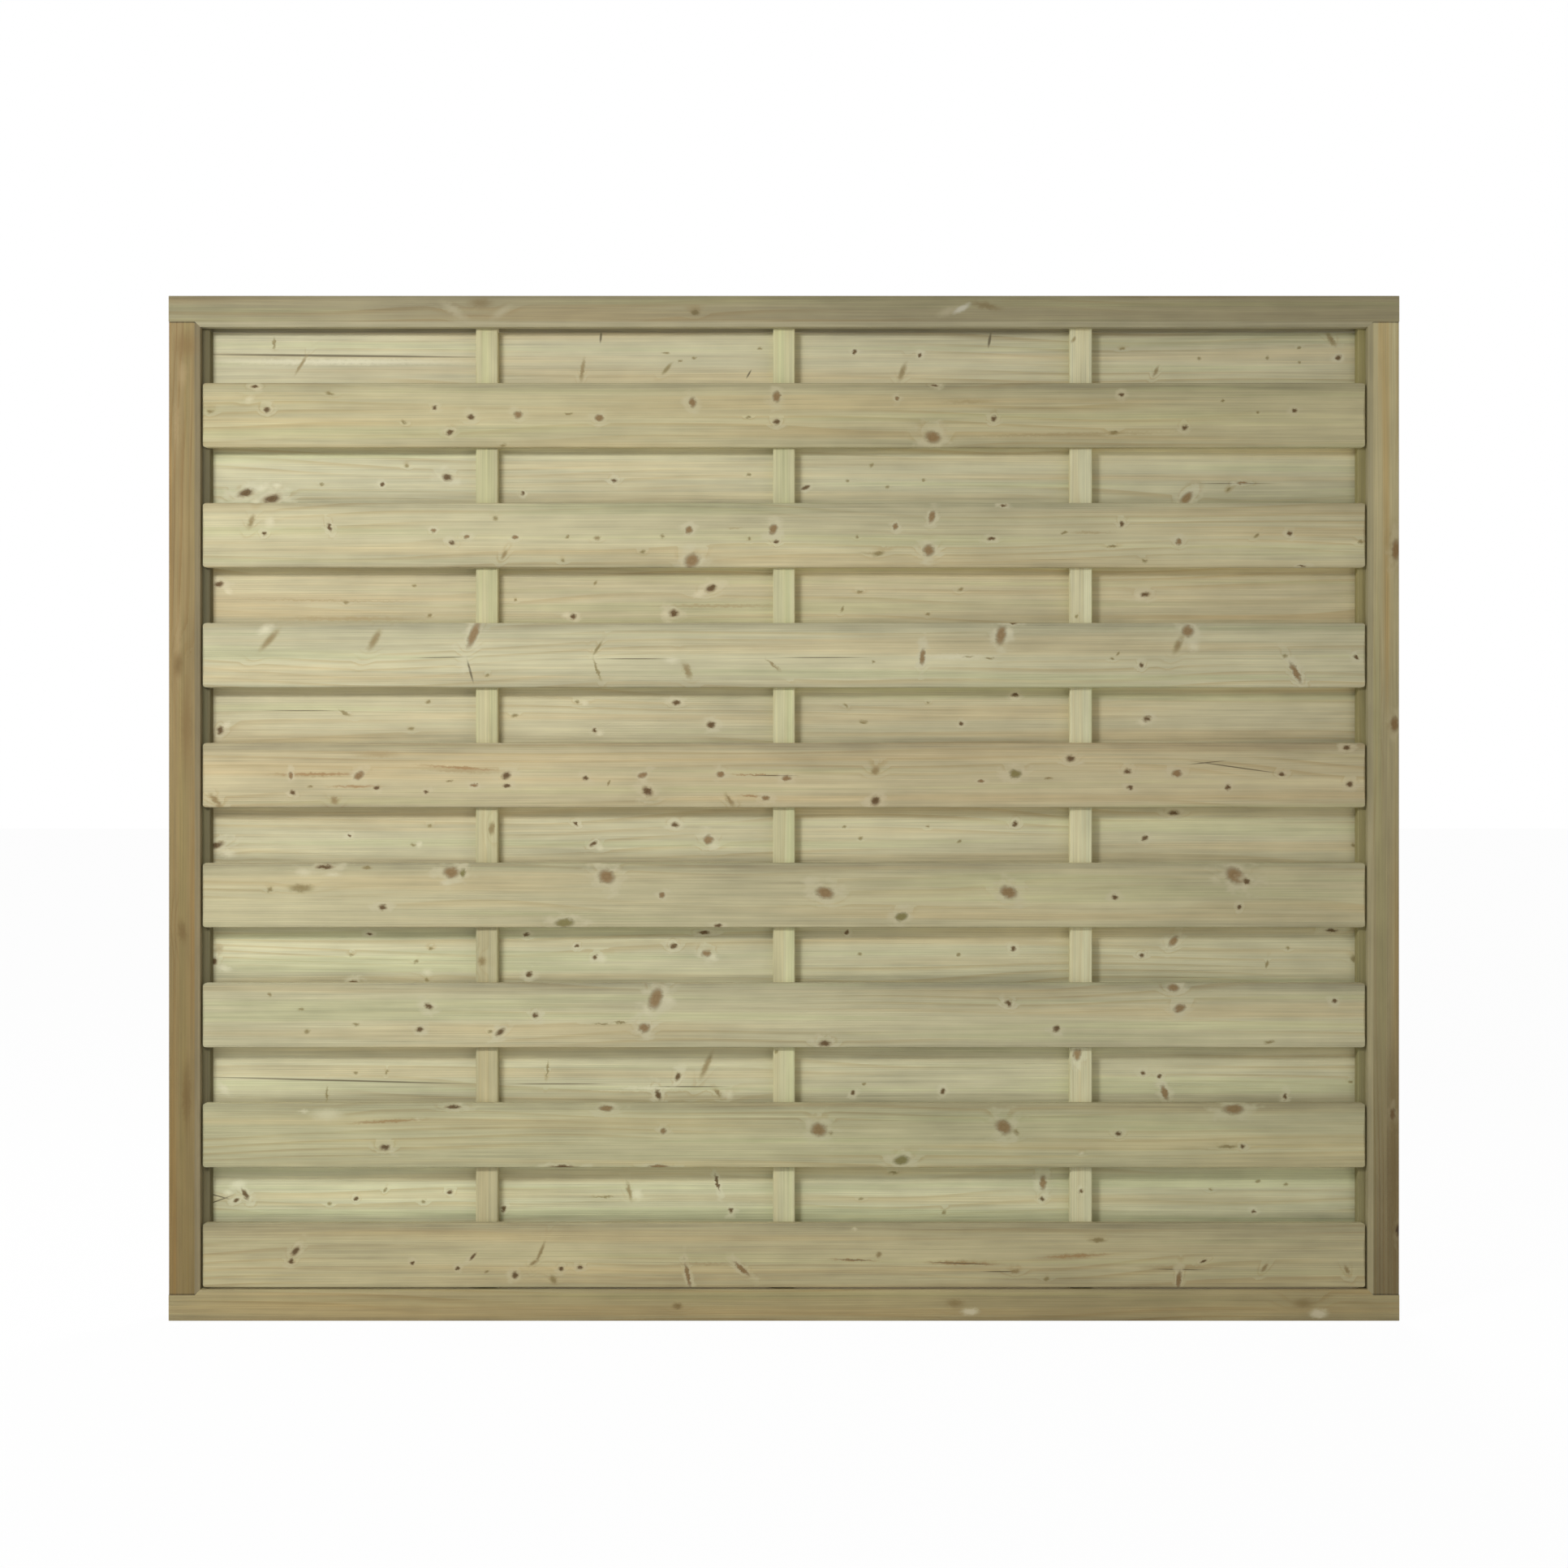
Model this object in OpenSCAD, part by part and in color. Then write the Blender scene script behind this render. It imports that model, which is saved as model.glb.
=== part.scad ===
// Double-sided horizontal screen panel of planed softwood.
// A grooved frame of two rails and two stiles holds five upright battens in its groove.
// Slats are fixed to the front and to the back of the battens, and each layer covers the other's gaps.
// X runs along the panel, Y through it from front to back, and Z up.
// The origin is on the outer face of the left stile, at mid-height and mid-depth.

/* [Panel] */
// Overall width of the panel
panel_w = 1800; // [1200:1:2100]
// Overall height of the panel
panel_h = 1500; // [900:1:2000]

/* [Frame] */
// Depth of the frame from front to back
frame_d = 45; // [38:1:70]
// Height of a rail, seen from the front
rail_h = 45; // [40:1:90]
// Width of a stile, seen from the front
stile_w = 45; // [38:1:90]
// Width of the chamfer along the inner edges, seen from the front
chamfer_w = 7; // [3:0.5:10]
// Depth that the chamfer cuts into the face
chamfer_d = 3; // [1:0.5:6]
// Rounding of the outer long edges
outer_r = 2; // [0.5:0.5:5]
// Depth of the groove in the inner faces
groove_d = 12; // [11:0.5:18]

/* [Corner joints] */
// Length of a tenon beyond its shoulder
tenon_l = 24; // [14:1:28]
// Distance of a tenon from the outer face of the stile
tenon_set = 8; // [4:1:16]
// Free depth of a mortise beyond the tenon
mortise_spare = 1; // [0.5:0.5:3]
// Clearance on each side of a tenon, and of a batten in the groove
joint_gap = 0.2; // [0.1:0.1:0.5]

/* [Battens] */
// Thickness of a batten from front to back
batten_t = 16; // [12:1:24]
// Width of a middle batten, seen from the front
batten_w = 32; // [20:1:60]
// Distance between the centres of neighbouring middle battens
batten_pitch = 437; // [250:1:500]
// How far an end batten stands out of the stile
end_batten_out = 11; // [6:0.5:20]
// Width of the eased edges of the battens
batten_ease = 1; // [0.5:0.25:2]

/* [Slats] */
// Height of a slat
slat_h = 95; // [70:1:120]
// Thickness of a slat at its middle
slat_t = 9; // [7:0.5:10.5]
// How much the outer face of a slat curves out
slat_crown = 1.2; // [0.6:0.1:2]
// Rounding of the outer edges and ends of a slat
slat_edge_r = 4; // [2:0.5:5.5]
// Rounding of the corners of a slat, seen from the front
slat_corner_r = 7; // [4:0.5:12]
// Gap between the end of a slat and the stile
slat_end_gap = 2; // [1:0.5:4]
// Gap between the outermost slats and the rails
slat_rail_gap = 2; // [1:0.5:6]
// Least height by which a slat covers the slats of the other layer
slat_lap = 5; // [2:0.5:15]

/* [Hidden] */
// Inner faces of the frame
inner_h = panel_h - 2 * rail_h;
inner_top = inner_h / 2;
inner_w = panel_w - 2 * stile_w;
// The rail is cut back to this height where the shoulder of the stile meets it
shoulder_z = inner_top + chamfer_w;
groove_w = batten_t + 2 * joint_gap;
groove_top = inner_top + groove_d;
tenon_x1 = stile_w - groove_d;
batten_top = groove_top - joint_gap;
end_batten_w = groove_d - joint_gap + end_batten_out;
// Slats in one layer, the same distance apart
slat_count = ceil((inner_h - slat_rail_gap) / (2 * (slat_h - slat_lap)));
slat_pitch = (inner_h - slat_rail_gap) / slat_count;
slat_l = inner_w - 2 * slat_end_gap;
crown_r = (slat_h * slat_h / 4 + slat_crown * slat_crown) / (2 * slat_crown);
// Overshoot of a cutting shape past the face that it cuts
cut = 1;
frame_colour = [0.60, 0.55, 0.40];
batten_colour = [0.75, 0.70, 0.55];
front_colour = [0.72, 0.67, 0.50];
back_colour = [0.68, 0.64, 0.48];
$fn = 48;
crown_fn = 720;

// Height of the lower edge of a front slat, counted from the top
function front_slat_z(k) = slat_rail_gap - inner_top + (slat_count - k) * slat_pitch;

// Height of the lower edge of a back slat, half a pitch higher, with the top one kept under the rail
function back_slat_z(k) = min(front_slat_z(k) + slat_pitch / 2, inner_top - slat_rail_gap - slat_h);

// Lays an outline with height along Y down along X, so that it reads as depth and height
module along_x(length) {
    rotate([90, 0, 90]) linear_extrude(length) children();
}

// Extrudes a front view, drawn as width and height, through the depth from y0 to y1
module through_y(y0, y1) {
    translate([0, y1, 0]) rotate([90, 0, 0]) linear_extrude(y1 - y0) children();
}

// Section of a frame member: u across the depth, v from the outer face at 0 to the inner face
module member_section(size) {
    difference() {
        union() {
            translate([-frame_d / 2, outer_r]) square([frame_d, size - outer_r - chamfer_w]);
            translate([-frame_d / 2 + outer_r, 0]) square([frame_d - 2 * outer_r, outer_r + cut]);
            for (side = [-1, 1]) translate([side * (frame_d / 2 - outer_r), outer_r]) circle(outer_r);
            polygon([
                [-frame_d / 2, size - chamfer_w],
                [frame_d / 2, size - chamfer_w],
                [frame_d / 2 - chamfer_d, size],
                [-frame_d / 2 + chamfer_d, size]
            ]);
        }
        translate([-groove_w / 2, size - groove_d]) square([groove_w, groove_d + cut]);
    }
}

// What the stile's shoulder and its mitre take off the lower corner of the top rail, on the left
module shoulder_cut() {
    through_y(-frame_d / 2 - cut, frame_d / 2 + cut) polygon([
        [-cut, inner_top - cut],
        [stile_w + cut, inner_top - cut],
        [stile_w - chamfer_w, shoulder_z],
        [-cut, shoulder_z]
    ]);
}

// Room for the left tenon inside the top rail
module mortise() {
    translate([tenon_set - joint_gap, -groove_w / 2, shoulder_z - cut])
        cube([tenon_x1 - tenon_set + 2 * joint_gap, groove_w, tenon_l + mortise_spare + cut]);
}

// A rail along the top of the frame
module rail() {
    difference() {
        translate([0, 0, panel_h / 2]) mirror([0, 0, 1]) along_x(panel_w) member_section(rail_h);
        for (end = [0, 1]) translate([end * panel_w, 0, 0]) mirror([end, 0, 0]) {
            shoulder_cut();
            mortise();
        }
    }
}

module top_rail() {
    color(frame_colour) rail();
}

module bottom_rail() {
    color(frame_colour) mirror([0, 0, 1]) rail();
}

// Upper end of a stile, outside its mitre, taken away
module mitre_cut() {
    through_y(-frame_d / 2 - cut, frame_d / 2 + cut) polygon([
        [stile_w - chamfer_w, shoulder_z],
        [stile_w + cut, inner_top - cut],
        [stile_w + cut, shoulder_z + cut],
        [stile_w - chamfer_w, shoulder_z + cut]
    ]);
}

// Tenon with the haunch that fills the end of the rail's groove
module tenon() {
    translate([tenon_set, -batten_t / 2, shoulder_z - cut])
        cube([tenon_x1 - tenon_set, batten_t, tenon_l + cut]);
    translate([0, -batten_t / 2, shoulder_z - cut])
        cube([tenon_x1, batten_t, groove_top - joint_gap - shoulder_z + cut]);
}

// The left stile, with a tenon at each end
module stile() {
    difference() {
        translate([0, 0, -shoulder_z])
            rotate([0, 0, -90]) mirror([1, 0, 0]) linear_extrude(2 * shoulder_z) member_section(stile_w);
        for (end = [0, 1]) mirror([0, 0, end]) mitre_cut();
    }
    for (end = [0, 1]) mirror([0, 0, end]) tenon();
}

module left_stile() {
    color(frame_colour) stile();
}

module right_stile() {
    color(frame_colour) translate([panel_w, 0, 0]) mirror([1, 0, 0]) stile();
}

// An upright batten from groove to groove, centred on x, with eased long edges
module batten(x, width) {
    color(batten_colour) translate([x, 0, -batten_top]) linear_extrude(2 * batten_top) polygon([
        for (corner = [[-1, -1], [1, -1], [1, 1], [-1, 1]])
            for (turn = (corner[0] * corner[1] > 0 ? [0, 1] : [1, 0])) [
                corner[0] * (width / 2 - turn * batten_ease),
                corner[1] * (batten_t / 2 - (1 - turn) * batten_ease)
            ]
    ]);
}

module left_end_batten() {
    batten(tenon_x1 + joint_gap + end_batten_w / 2, end_batten_w);
}

module left_batten() {
    batten(panel_w / 2 - batten_pitch, batten_w);
}

module middle_batten() {
    batten(panel_w / 2, batten_w);
}

module right_batten() {
    batten(panel_w / 2 + batten_pitch, batten_w);
}

module right_end_batten() {
    batten(panel_w - tenon_x1 - joint_gap - end_batten_w / 2, end_batten_w);
}

// Rectangle with its lower left corner at the origin and its two far corners rounded
module far_rounded(width, depth, r) {
    square([width, depth - r]);
    translate([r, 0]) square([width - 2 * r, depth]);
    for (x = [r, width - r]) translate([x, depth - r]) circle(r);
}

// Front view of a slat, with all four corners rounded
module slat_outline() {
    translate([slat_corner_r, 0]) square([slat_l - 2 * slat_corner_r, slat_h]);
    translate([0, slat_corner_r]) square([slat_l, slat_h - 2 * slat_corner_r]);
    for (x = [slat_corner_r, slat_l - slat_corner_r])
        for (z = [slat_corner_r, slat_h - slat_corner_r])
            translate([x, z]) circle(slat_corner_r);
}

// A slat lying in X and Z with its flat side at y = 0 and its crowned side towards +Y
module slat() {
    intersection() {
        through_y(0, slat_t) slat_outline();
        linear_extrude(slat_h) far_rounded(slat_l, slat_t, slat_edge_r);
        along_x(slat_l) mirror([1, -1]) far_rounded(slat_h, slat_t, slat_edge_r);
        translate([0, slat_t - crown_r, slat_h / 2]) rotate([0, 90, 0])
            cylinder(h = slat_l, r = crown_r, $fn = crown_fn);
    }
}

module front_slat(k) {
    color(front_colour) translate([stile_w + slat_end_gap, -batten_t / 2, front_slat_z(k)])
        mirror([0, 1, 0]) slat();
}

module back_slat(k) {
    color(back_colour) translate([stile_w + slat_end_gap, batten_t / 2, back_slat_z(k)])
        slat();
}

top_rail();
bottom_rail();
left_stile();
right_stile();
left_end_batten();
left_batten();
middle_batten();
right_batten();
right_end_batten();
for (k = [1:slat_count]) {
    front_slat(k);
    back_slat(k);
}
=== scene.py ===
"""Dresses the screen panel: planed, pressure-treated pine with its grain, knots and cracks."""
import bpy
import math
from collections import namedtuple
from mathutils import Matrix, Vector


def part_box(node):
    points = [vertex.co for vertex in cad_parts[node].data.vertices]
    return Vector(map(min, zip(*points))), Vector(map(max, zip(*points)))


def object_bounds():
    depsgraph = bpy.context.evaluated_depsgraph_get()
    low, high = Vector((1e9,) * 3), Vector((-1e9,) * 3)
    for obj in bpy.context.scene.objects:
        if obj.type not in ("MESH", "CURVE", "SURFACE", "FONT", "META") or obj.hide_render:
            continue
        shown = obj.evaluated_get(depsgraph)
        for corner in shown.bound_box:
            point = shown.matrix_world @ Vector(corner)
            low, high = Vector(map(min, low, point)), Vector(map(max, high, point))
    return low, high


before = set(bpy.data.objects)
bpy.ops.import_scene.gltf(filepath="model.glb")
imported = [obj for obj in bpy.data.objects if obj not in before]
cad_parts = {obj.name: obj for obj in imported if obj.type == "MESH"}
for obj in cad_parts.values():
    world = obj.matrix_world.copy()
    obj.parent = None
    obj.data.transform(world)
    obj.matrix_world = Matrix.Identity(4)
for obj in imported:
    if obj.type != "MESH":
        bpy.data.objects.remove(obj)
CAD_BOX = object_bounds()

# The panel's own measures, in metres
PANEL_LOW, PANEL_HIGH = CAD_BOX
PANEL_CENTRE = (PANEL_LOW + PANEL_HIGH) / 2
RAIL_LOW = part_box("top_rail")[0].z
CHAMFER = 0.007
# Height at which the stiles meet the top rail, and, downwards, the bottom rail
SHOULDER = RAIL_LOW + CHAMFER
MM_PER_METRE = 1000

# Colours are linear. Each board's tone is a base colour times its own factors.
PALE = (0.500, 0.450, 0.272)
FRONT_TONES = {
    1: (1.05, 1.05, 1.00), 2: (1.12, 1.14, 1.15), 3: (1.12, 1.16, 1.21), 4: (1.03, 1.00, 0.98),
    5: (0.97, 0.98, 0.97), 6: (0.98, 1.01, 1.03), 7: (0.88, 0.92, 0.89), 8: (0.84, 0.83, 0.78),
}
# The back slats' tones are lighter than the front slats': partly their own colour and partly painted light
# that makes up for the shade they stand in behind the front slats.
BACK_TONES = {
    1: (1.25, 1.30, 1.40), 2: (1.20, 1.26, 1.35), 3: (1.18, 1.17, 1.19), 4: (1.13, 1.15, 1.20),
    5: (1.14, 1.18, 1.24), 6: (1.12, 1.18, 1.24), 7: (1.13, 1.19, 1.25), 8: (1.12, 1.21, 1.26),
}
TOP_RAIL_TONE = (0.360, 0.315, 0.181)
BOTTOM_RAIL_TONE = (0.320, 0.267, 0.132)
# Upright boards have a tone at their lower end and one at their upper end. The end battens' tones are
# darkened as painted shade, for the shade in the recess between the stiles and the slats.
UPRIGHT_TONES = {
    "left_stile": ((0.205, 0.148, 0.056), (0.330, 0.243, 0.107)),
    "right_stile": ((0.178, 0.139, 0.065), (0.585, 0.510, 0.282)),
    "left_end_batten": ((0.125, 0.108, 0.052), (0.125, 0.108, 0.052)),
    "left_batten": ((0.415, 0.376, 0.215), (0.600, 0.555, 0.322)),
    "middle_batten": ((0.555, 0.530, 0.318), (0.655, 0.622, 0.363)),
    "right_batten": ((0.590, 0.572, 0.357), (0.720, 0.695, 0.445)),
    "right_end_batten": ((0.225, 0.202, 0.096), (0.350, 0.306, 0.133)),
}
# Tones of the chamfers along the inner edges of the frame, painted light and shade for how each chamfer
# faces the light. The bottom rail's has no tone of its own.
CHAMFER_PAINTED_TONES = {
    "top_rail": (0.445, 0.402, 0.252),
    "left_stile": (0.245, 0.203, 0.115),
    "right_stile": (0.335, 0.293, 0.165),
}
# Factors on a board's tone for the late wood of its rings, for its streaks, and for its greenish parts
LATE_WOOD = (0.86, 0.77, 0.66)
WARM_STREAK = (1.03, 0.93, 0.84)
STILE_STREAK = (1.02, 0.82, 0.56)
GREENISH = (0.95, 1.01, 0.93)

# Bands of painted shade and highlight across the slats: (from, to, change), from the slat's lower edge, in
# metres.
# The front slats are darker at both edges, with a painted highlight below their middle; the back slats are
# darker towards their lower edge, where the front slat below shades them.
FRONT_PAINTED_SHADING = ((0.075, 0.093, -0.22), (0.060, 0.038, 0.07), (0.032, 0.018, -0.07), (0.010, 0.0, -0.10))
BACK_PAINTED_SHADING = ((0.024, 0.005, -0.22),)
# The same for the shadow in the joint at the ends of a stile, from the panel's middle
JOINT_LINE = (SHOULDER - 0.003, SHOULDER - 0.001, -0.6)
# How much a chamfer's tone of painted light and shade covers the board's own, and half the width of its soft
# edge
CHAMFER_COVER = 0.85
SOFT_EDGE = 0.001

# Each board has a seed for its grain, which counts on from these
FRONT_SEED = 0
BACK_SEED = 20
BATTEN_SEED = 40
FRAME_SEED = 60

# What the growth of each board left on it, as places in millimetres:
# along the board from the panel's left edge, across it from the board's lower edge,
# half its length, half its height, and its turn in degrees.
# For an upright board, along is the height from the panel's middle, and across starts at its left edge.
FEATURES = {
    "front_slat_1": {
        "dark": [(124, 89, 6, 2.5, 0), (142, 55, 5.5, 4.5, 0), (388, 58, 4, 3.5, 0), (410, 22, 5.5, 4, 15),
                 (441, 44, 6, 4.5, 0), (889, 37, 5, 4.5, 0), (1121, 91, 6, 2.5, 0), (1207, 42, 4.5, 4.5, 0),
                 (1394, 77, 4.5, 3.5, 0), (1487, 29, 4.5, 4, 0), (1648, 54, 4.5, 3.5, 0)],
        "red": [(510, 48, 6.5, 5.5, 0), (629, 43, 6.5, 5, 0), (766, 66, 5.5, 7.5, 0), (889, 74, 6, 8.5, 0),
                (1066, 72, 3.5, 3.5, 0), (1118, 15, 12, 9, -10)],
        "speck": [(59, 53, 6, 4, 0), (234, 79, 7, 3, -20), (343, 37, 5, 2.5, -30), (488, 3, 5, 2.5, 0),
                  (584, 49, 7, 1.5, 0), (848, 44, 4, 2, 0), (1384, 22, 8, 3, 0), (1543, 68, 3, 2, 0),
                  (1594, 51, 3, 2.5, 0)],
        "blush": [(1173, 67, 46, 4, 0), (1310, 19, 190, 3, 1)],
        "pale": [(116, 70, 9, 6, 30)],
    },
    "front_slat_2": {
        "tan": [(119, 67, 12.5, 5, 70), (490, 19, 9, 3.5, 60), (626, 43, 6, 3.5, 0)],
        "dark": [(138, 50, 3.5, 3.5, 0), (234, 59, 7, 3.5, -70), (413, 36, 5, 3.5, -20), (889, 38, 4, 3, 0),
                 (1204, 42, 6, 3, 0), (1222, 91, 6, 2, 0), (1395, 64, 4, 4.5, 0), (1641, 50, 4, 4, 0),
                 (1659, 2, 7, 2, 0)],
        "red": [(386, 54, 4, 3, 0), (435, 45, 4.5, 3, 15), (506, 44, 5, 3, 0), (761, 55, 5.5, 5.5, 45),
                (765, 10, 12, 10, 35), (884, 56, 8, 6, 70), (1063, 60, 4, 4.5, 0), (1112, 25, 8.5, 8.5, 0),
                (1117, 75, 9, 4.5, 80), (1479, 38, 4.5, 5, 0)],
        "speck": [(477, 72, 5, 4, 0), (576, 10, 4, 3, 0), (583, 45, 3, 2.5, 0), (693, 23, 4, 3, 0),
                  (722, 46, 4, 3, 0), (849, 42, 3, 3, 0), (1007, 44, 3, 2.5, 0), (1038, 20, 10, 4, 15),
                  (1311, 51, 6, 2, 10), (1381, 31, 8, 2, 0), (1428, 10, 5, 3, -20), (1593, 47, 6, 2.5, 40),
                  (1746, 38, 5, 4, 0)],
        "blush": [(828, 58, 14, 2, 0), (1030, 21, 22, 3, 0), (1350, 51, 40, 2, 0)],
        "pale": [(146, 66, 9, 9, 60)],
    },
    "front_slat_3": {
        "tan": [(146, 70, 24, 6, 48), (300, 70, 20, 6.5, 60), (758, 25, 15, 6.5, -65),
                (884, 33, 15, 2.5, -40), (1478, 63, 17, 6.5, 62)],
        "red": [(445, 78, 21, 6.5, 68), (1103, 45, 12, 4, 85), (1218, 77, 14.5, 7.5, 80),
                (1492, 83, 9, 9, 0), (1650, 22, 17, 4.5, -62)],
        "dark": [(1236, 95, 6, 3, 0), (1424, 33, 3.5, 4.5, 0), (1739, 44, 5, 3, -40)],
        "speck": [(465, 18, 3, 2.5, 0), (626, 26, 18, 2.5, -70), (627, 58, 13, 2.5, 58),
                  (1031, 38, 3, 2.5, 0), (1170, 45, 8, 1.5, 0), (1201, 43, 8, 1.5, 0),
                  (1381, 42, 4, 2.5, 0), (1390, 50, 4, 2, 50), (1634, 46, 4.5, 3.5, 0)],
        "crack": [(440, 24, 19, 2, -75), (400, 44, 45, 0.9, 1), (682, 42, 56, 0.9, 0),
                  (957, 44, 70, 0.9, 0)],
        "pale": [(140, 85, 14, 8, 30), (735, 40, 12, 6, 0), (1150, 45, 60, 5, 0), (1230, 82, 7, 8, 70),
                 (1500, 60, 8, 10, 60)],
    },
    "front_slat_4": {
        "blush": [(205, 48, 66, 4, 0), (305, 78, 40, 7, 0), (425, 54, 70, 4, -3)],
        "red": [(177, 47, 3, 6, 0), (277, 47, 8, 5.5, 35), (446, 33, 6, 2.5, 0), (692, 47, 7, 4.5, 20),
                (807, 49, 6, 4.5, 0), (873, 14, 6, 4, 0), (904, 43, 7, 4, 0), (1189, 39, 5, 2.5, 0),
                (1476, 50, 7.5, 5.5, 0)],
        "dark": [(180, 22, 5, 3.5, -40), (303, 29, 5, 3, 0), (375, 23, 4, 3, 0), (493, 47, 7.5, 5.5, 25),
                 (494, 32, 6, 3, 0), (609, 43, 5, 3.5, 0), (700, 24, 9.5, 6.5, -35), (1034, 10, 8.5, 7, 50),
                 (1320, 72, 7, 5.5, 0), (1404, 53, 6, 4.5, 0), (1407, 29, 5.5, 3.5, 0),
                 (1551, 30, 4.5, 4.5, 0), (1630, 49, 5.5, 3.5, 0), (1725, 88, 6, 4, 0),
                 (1729, 34, 5.5, 4.5, 0)],
        "olive": [(1239, 50, 9.5, 6.5, 0)],
        "tan": [(67, 10, 16, 5, -50), (241, 11, 8, 6.5, -50), (820, 11, 13, 4.5, -55),
                (1034, 54, 8.5, 6.5, 30)],
        "speck": [(206, 31, 4, 2.5, 0), (410, 39, 5, 2, 0), (643, 36, 5, 2, 70), (1288, 43, 7, 2, 0)],
        "streak": [(217, 49, 76, 2.4, 0), (427, 58, 70, 2.6, -4), (270, 31, 45, 2.2, 0),
                   (858, 48, 45, 1.4, -1), (852, 17, 24, 1.6, -3)],
        "crack": [(886, 47, 36, 0.9, 0), (1520, 66, 30, 0.9, 6), (1563, 59, 68, 1.1, -8)],
    },
    "front_slat_5": {
        "red": [(412, 81, 12, 8.5, 0), (640, 75, 12.5, 10.5, -20), (721, 48, 4.5, 4.5, 0),
                (960, 51, 13.5, 8.5, -15), (1229, 52, 13, 9, -20), (1562, 76, 16.5, 11, -35)],
        "dark": [(227, 89, 14, 3.5, 0), (312, 30, 7, 4.5, 0), (803, 3, 6, 3, 0), (1385, 45, 5.5, 4, 0),
                 (1567, 30, 3, 4, 0), (1578, 68, 6, 5, -40)],
        "olive": [(429, 81, 4.5, 7.5, 0), (578, 7, 15, 6.5, 5), (1072, 16, 9.5, 6.5, 15)],
        "speck": [(147, 56, 5, 4, 0), (192, 58, 20, 7, 0), (289, 88, 8, 3, 0)],
        "pale": [(196, 81, 14, 7, 0), (238, 78, 14, 4, 0), (405, 66, 10, 5, 0)],
    },
    "front_slat_6": {
        "red": [(695, 29, 8.5, 7, 0), (712, 72, 17, 9.5, 72), (1471, 88, 9, 6, 0), (1480, 58, 9, 6, 20)],
        "dark": [(366, 27, 6, 4, 10), (379, 61, 7, 4.5, -35), (484, 23, 8, 4.5, 40), (536, 48, 5, 4.5, 0),
                 (960, 6, 10, 5, 0), (1229, 65, 6, 4.5, -30), (1299, 28, 5.5, 5, 0),
                 (1707, 69, 4.5, 3.5, 0)],
        "speck": [(146, 78, 4, 3, -40), (192, 56, 5, 3, 0), (201, 24, 5, 3.5, 20), (272, 34, 6, 3, 0),
                  (470, 24, 5, 2.5, 0), (632, 35, 14, 1.5, 0), (660, 37, 12, 1.5, 0), (1611, 8, 8, 3, 0)],
        "pale": [(700, 55, 9, 9, 0), (730, 70, 8, 14, 70)],
    },
    "front_slat_7": {
        "pale": [(196, 83, 10, 3, 0), (230, 78, 26, 10, 0), (363, 71, 4, 3, 0), (1336, 21, 4, 3, 0)],
        "blush": [(326, 69, 56, 4, 3)],
        "streak": [(318, 68, 62, 2.2, 3)],
        "red": [(639, 87, 10.5, 4.5, 0), (716, 2, 15, 2.5, 0), (723, 54, 4.5, 4, 0), (951, 56, 12, 10, -15),
                (1222, 60, 13, 10, -30), (1559, 86, 15.5, 7.5, 0)],
        "dark": [(315, 30, 8, 5, 0), (415, 89, 12, 3, 0), (575, 1, 20, 3, 0), (1390, 50, 5, 4, 0),
                 (1572, 32, 4, 3.5, 0)],
        "olive": [(1072, 11, 12, 7, 10)],
        "speck": [(968, 52, 5, 4, 0), (1240, 52, 6, 4, -40), (1550, 31, 16, 3, 0)],
    },
    "front_slat_8": {
        "dark": [(178, 39, 4.5, 4, 0), (184, 54, 9, 4.5, 50), (355, 36, 3.5, 3, 0), (422, 29, 3.5, 3, 0),
                 (444, 46, 7, 2.5, 50), (506, 19, 4.5, 6, 0), (573, 28, 4.5, 3.5, 0), (601, 30, 4.5, 3.5, 0),
                 (1515, 39, 6, 2, 20)],
        "tan": [(533, 37, 9, 3, 35), (543, 52, 20, 3, 68), (1039, 49, 6, 4.5, 60), (1238, 24, 8, 4, 0),
                (1604, 29, 8, 3.5, 55), (1725, 26, 9, 4, -70)],
        "red": [(759, 18, 18, 3, -78), (838, 28, 15, 3.5, -42), (1479, 12, 13, 3.5, 85)],
        "streak": [(1003, 41, 40, 1.8, -2), (1162, 36, 64, 2.4, -2), (1325, 47, 60, 2.0, 3)],
        "speck": [(464, 24, 3, 2.5, 0), (562, 12, 8, 5, -60), (753, 43, 3, 3, 0), (1285, 13, 5, 3, 0),
                  (1360, 70, 14, 4, 0)],
        "crack": [(1003, 41, 28, 0.8, -2), (1162, 36, 50, 0.9, -2), (1218, 24, 30, 1.0, 0),
                  (1479, 27, 44, 1.0, -1)],
        "blush": [(780, 35, 60, 3, 0), (1162, 37, 60, 5, 0), (1325, 47, 50, 6, 3), (1480, 30, 70, 5, 0)],
        "pale": [(1003, 86, 5, 3, 0)],
    },
    "back_slat_1": {
        "crack": [(238, 61, 235, 2.0, -0.6), (629, 88, 9, 2, 85), (848, 34, 8, 1.5, 60),
                  (1204, 84, 12, 2.5, 80)],
        "tan": [(186, 48, 20, 3, 58), (602, 40, 20, 3.5, 82), (1075, 37, 16, 5, 70), (1450, 38, 9, 3, 65),
                (1709, 85, 14, 4.5, -55)],
        "dark": [(1004, 67, 4, 3.5, 60), (1101, 62, 3, 3, 0), (1720, 58, 4.5, 4, 0)],
        "speck": [(146, 79, 10, 3, 90), (725, 65, 7, 2, 0), (727, 42, 12, 3.5, 50), (746, 53, 4, 2.5, 0),
                  (767, 58, 4, 2.5, 0), (865, 72, 4, 3, 0), (1400, 71, 5, 2.5, 0), (1514, 57, 3.5, 3, 0),
                  (1615, 58, 3, 3, 0), (1662, 51, 3, 2.5, 0), (1662, 73, 3, 2.5, 0)],
        "pale": [(238, 52, 200, 5, 0)],
    },
    "back_slat_2": {
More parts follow.
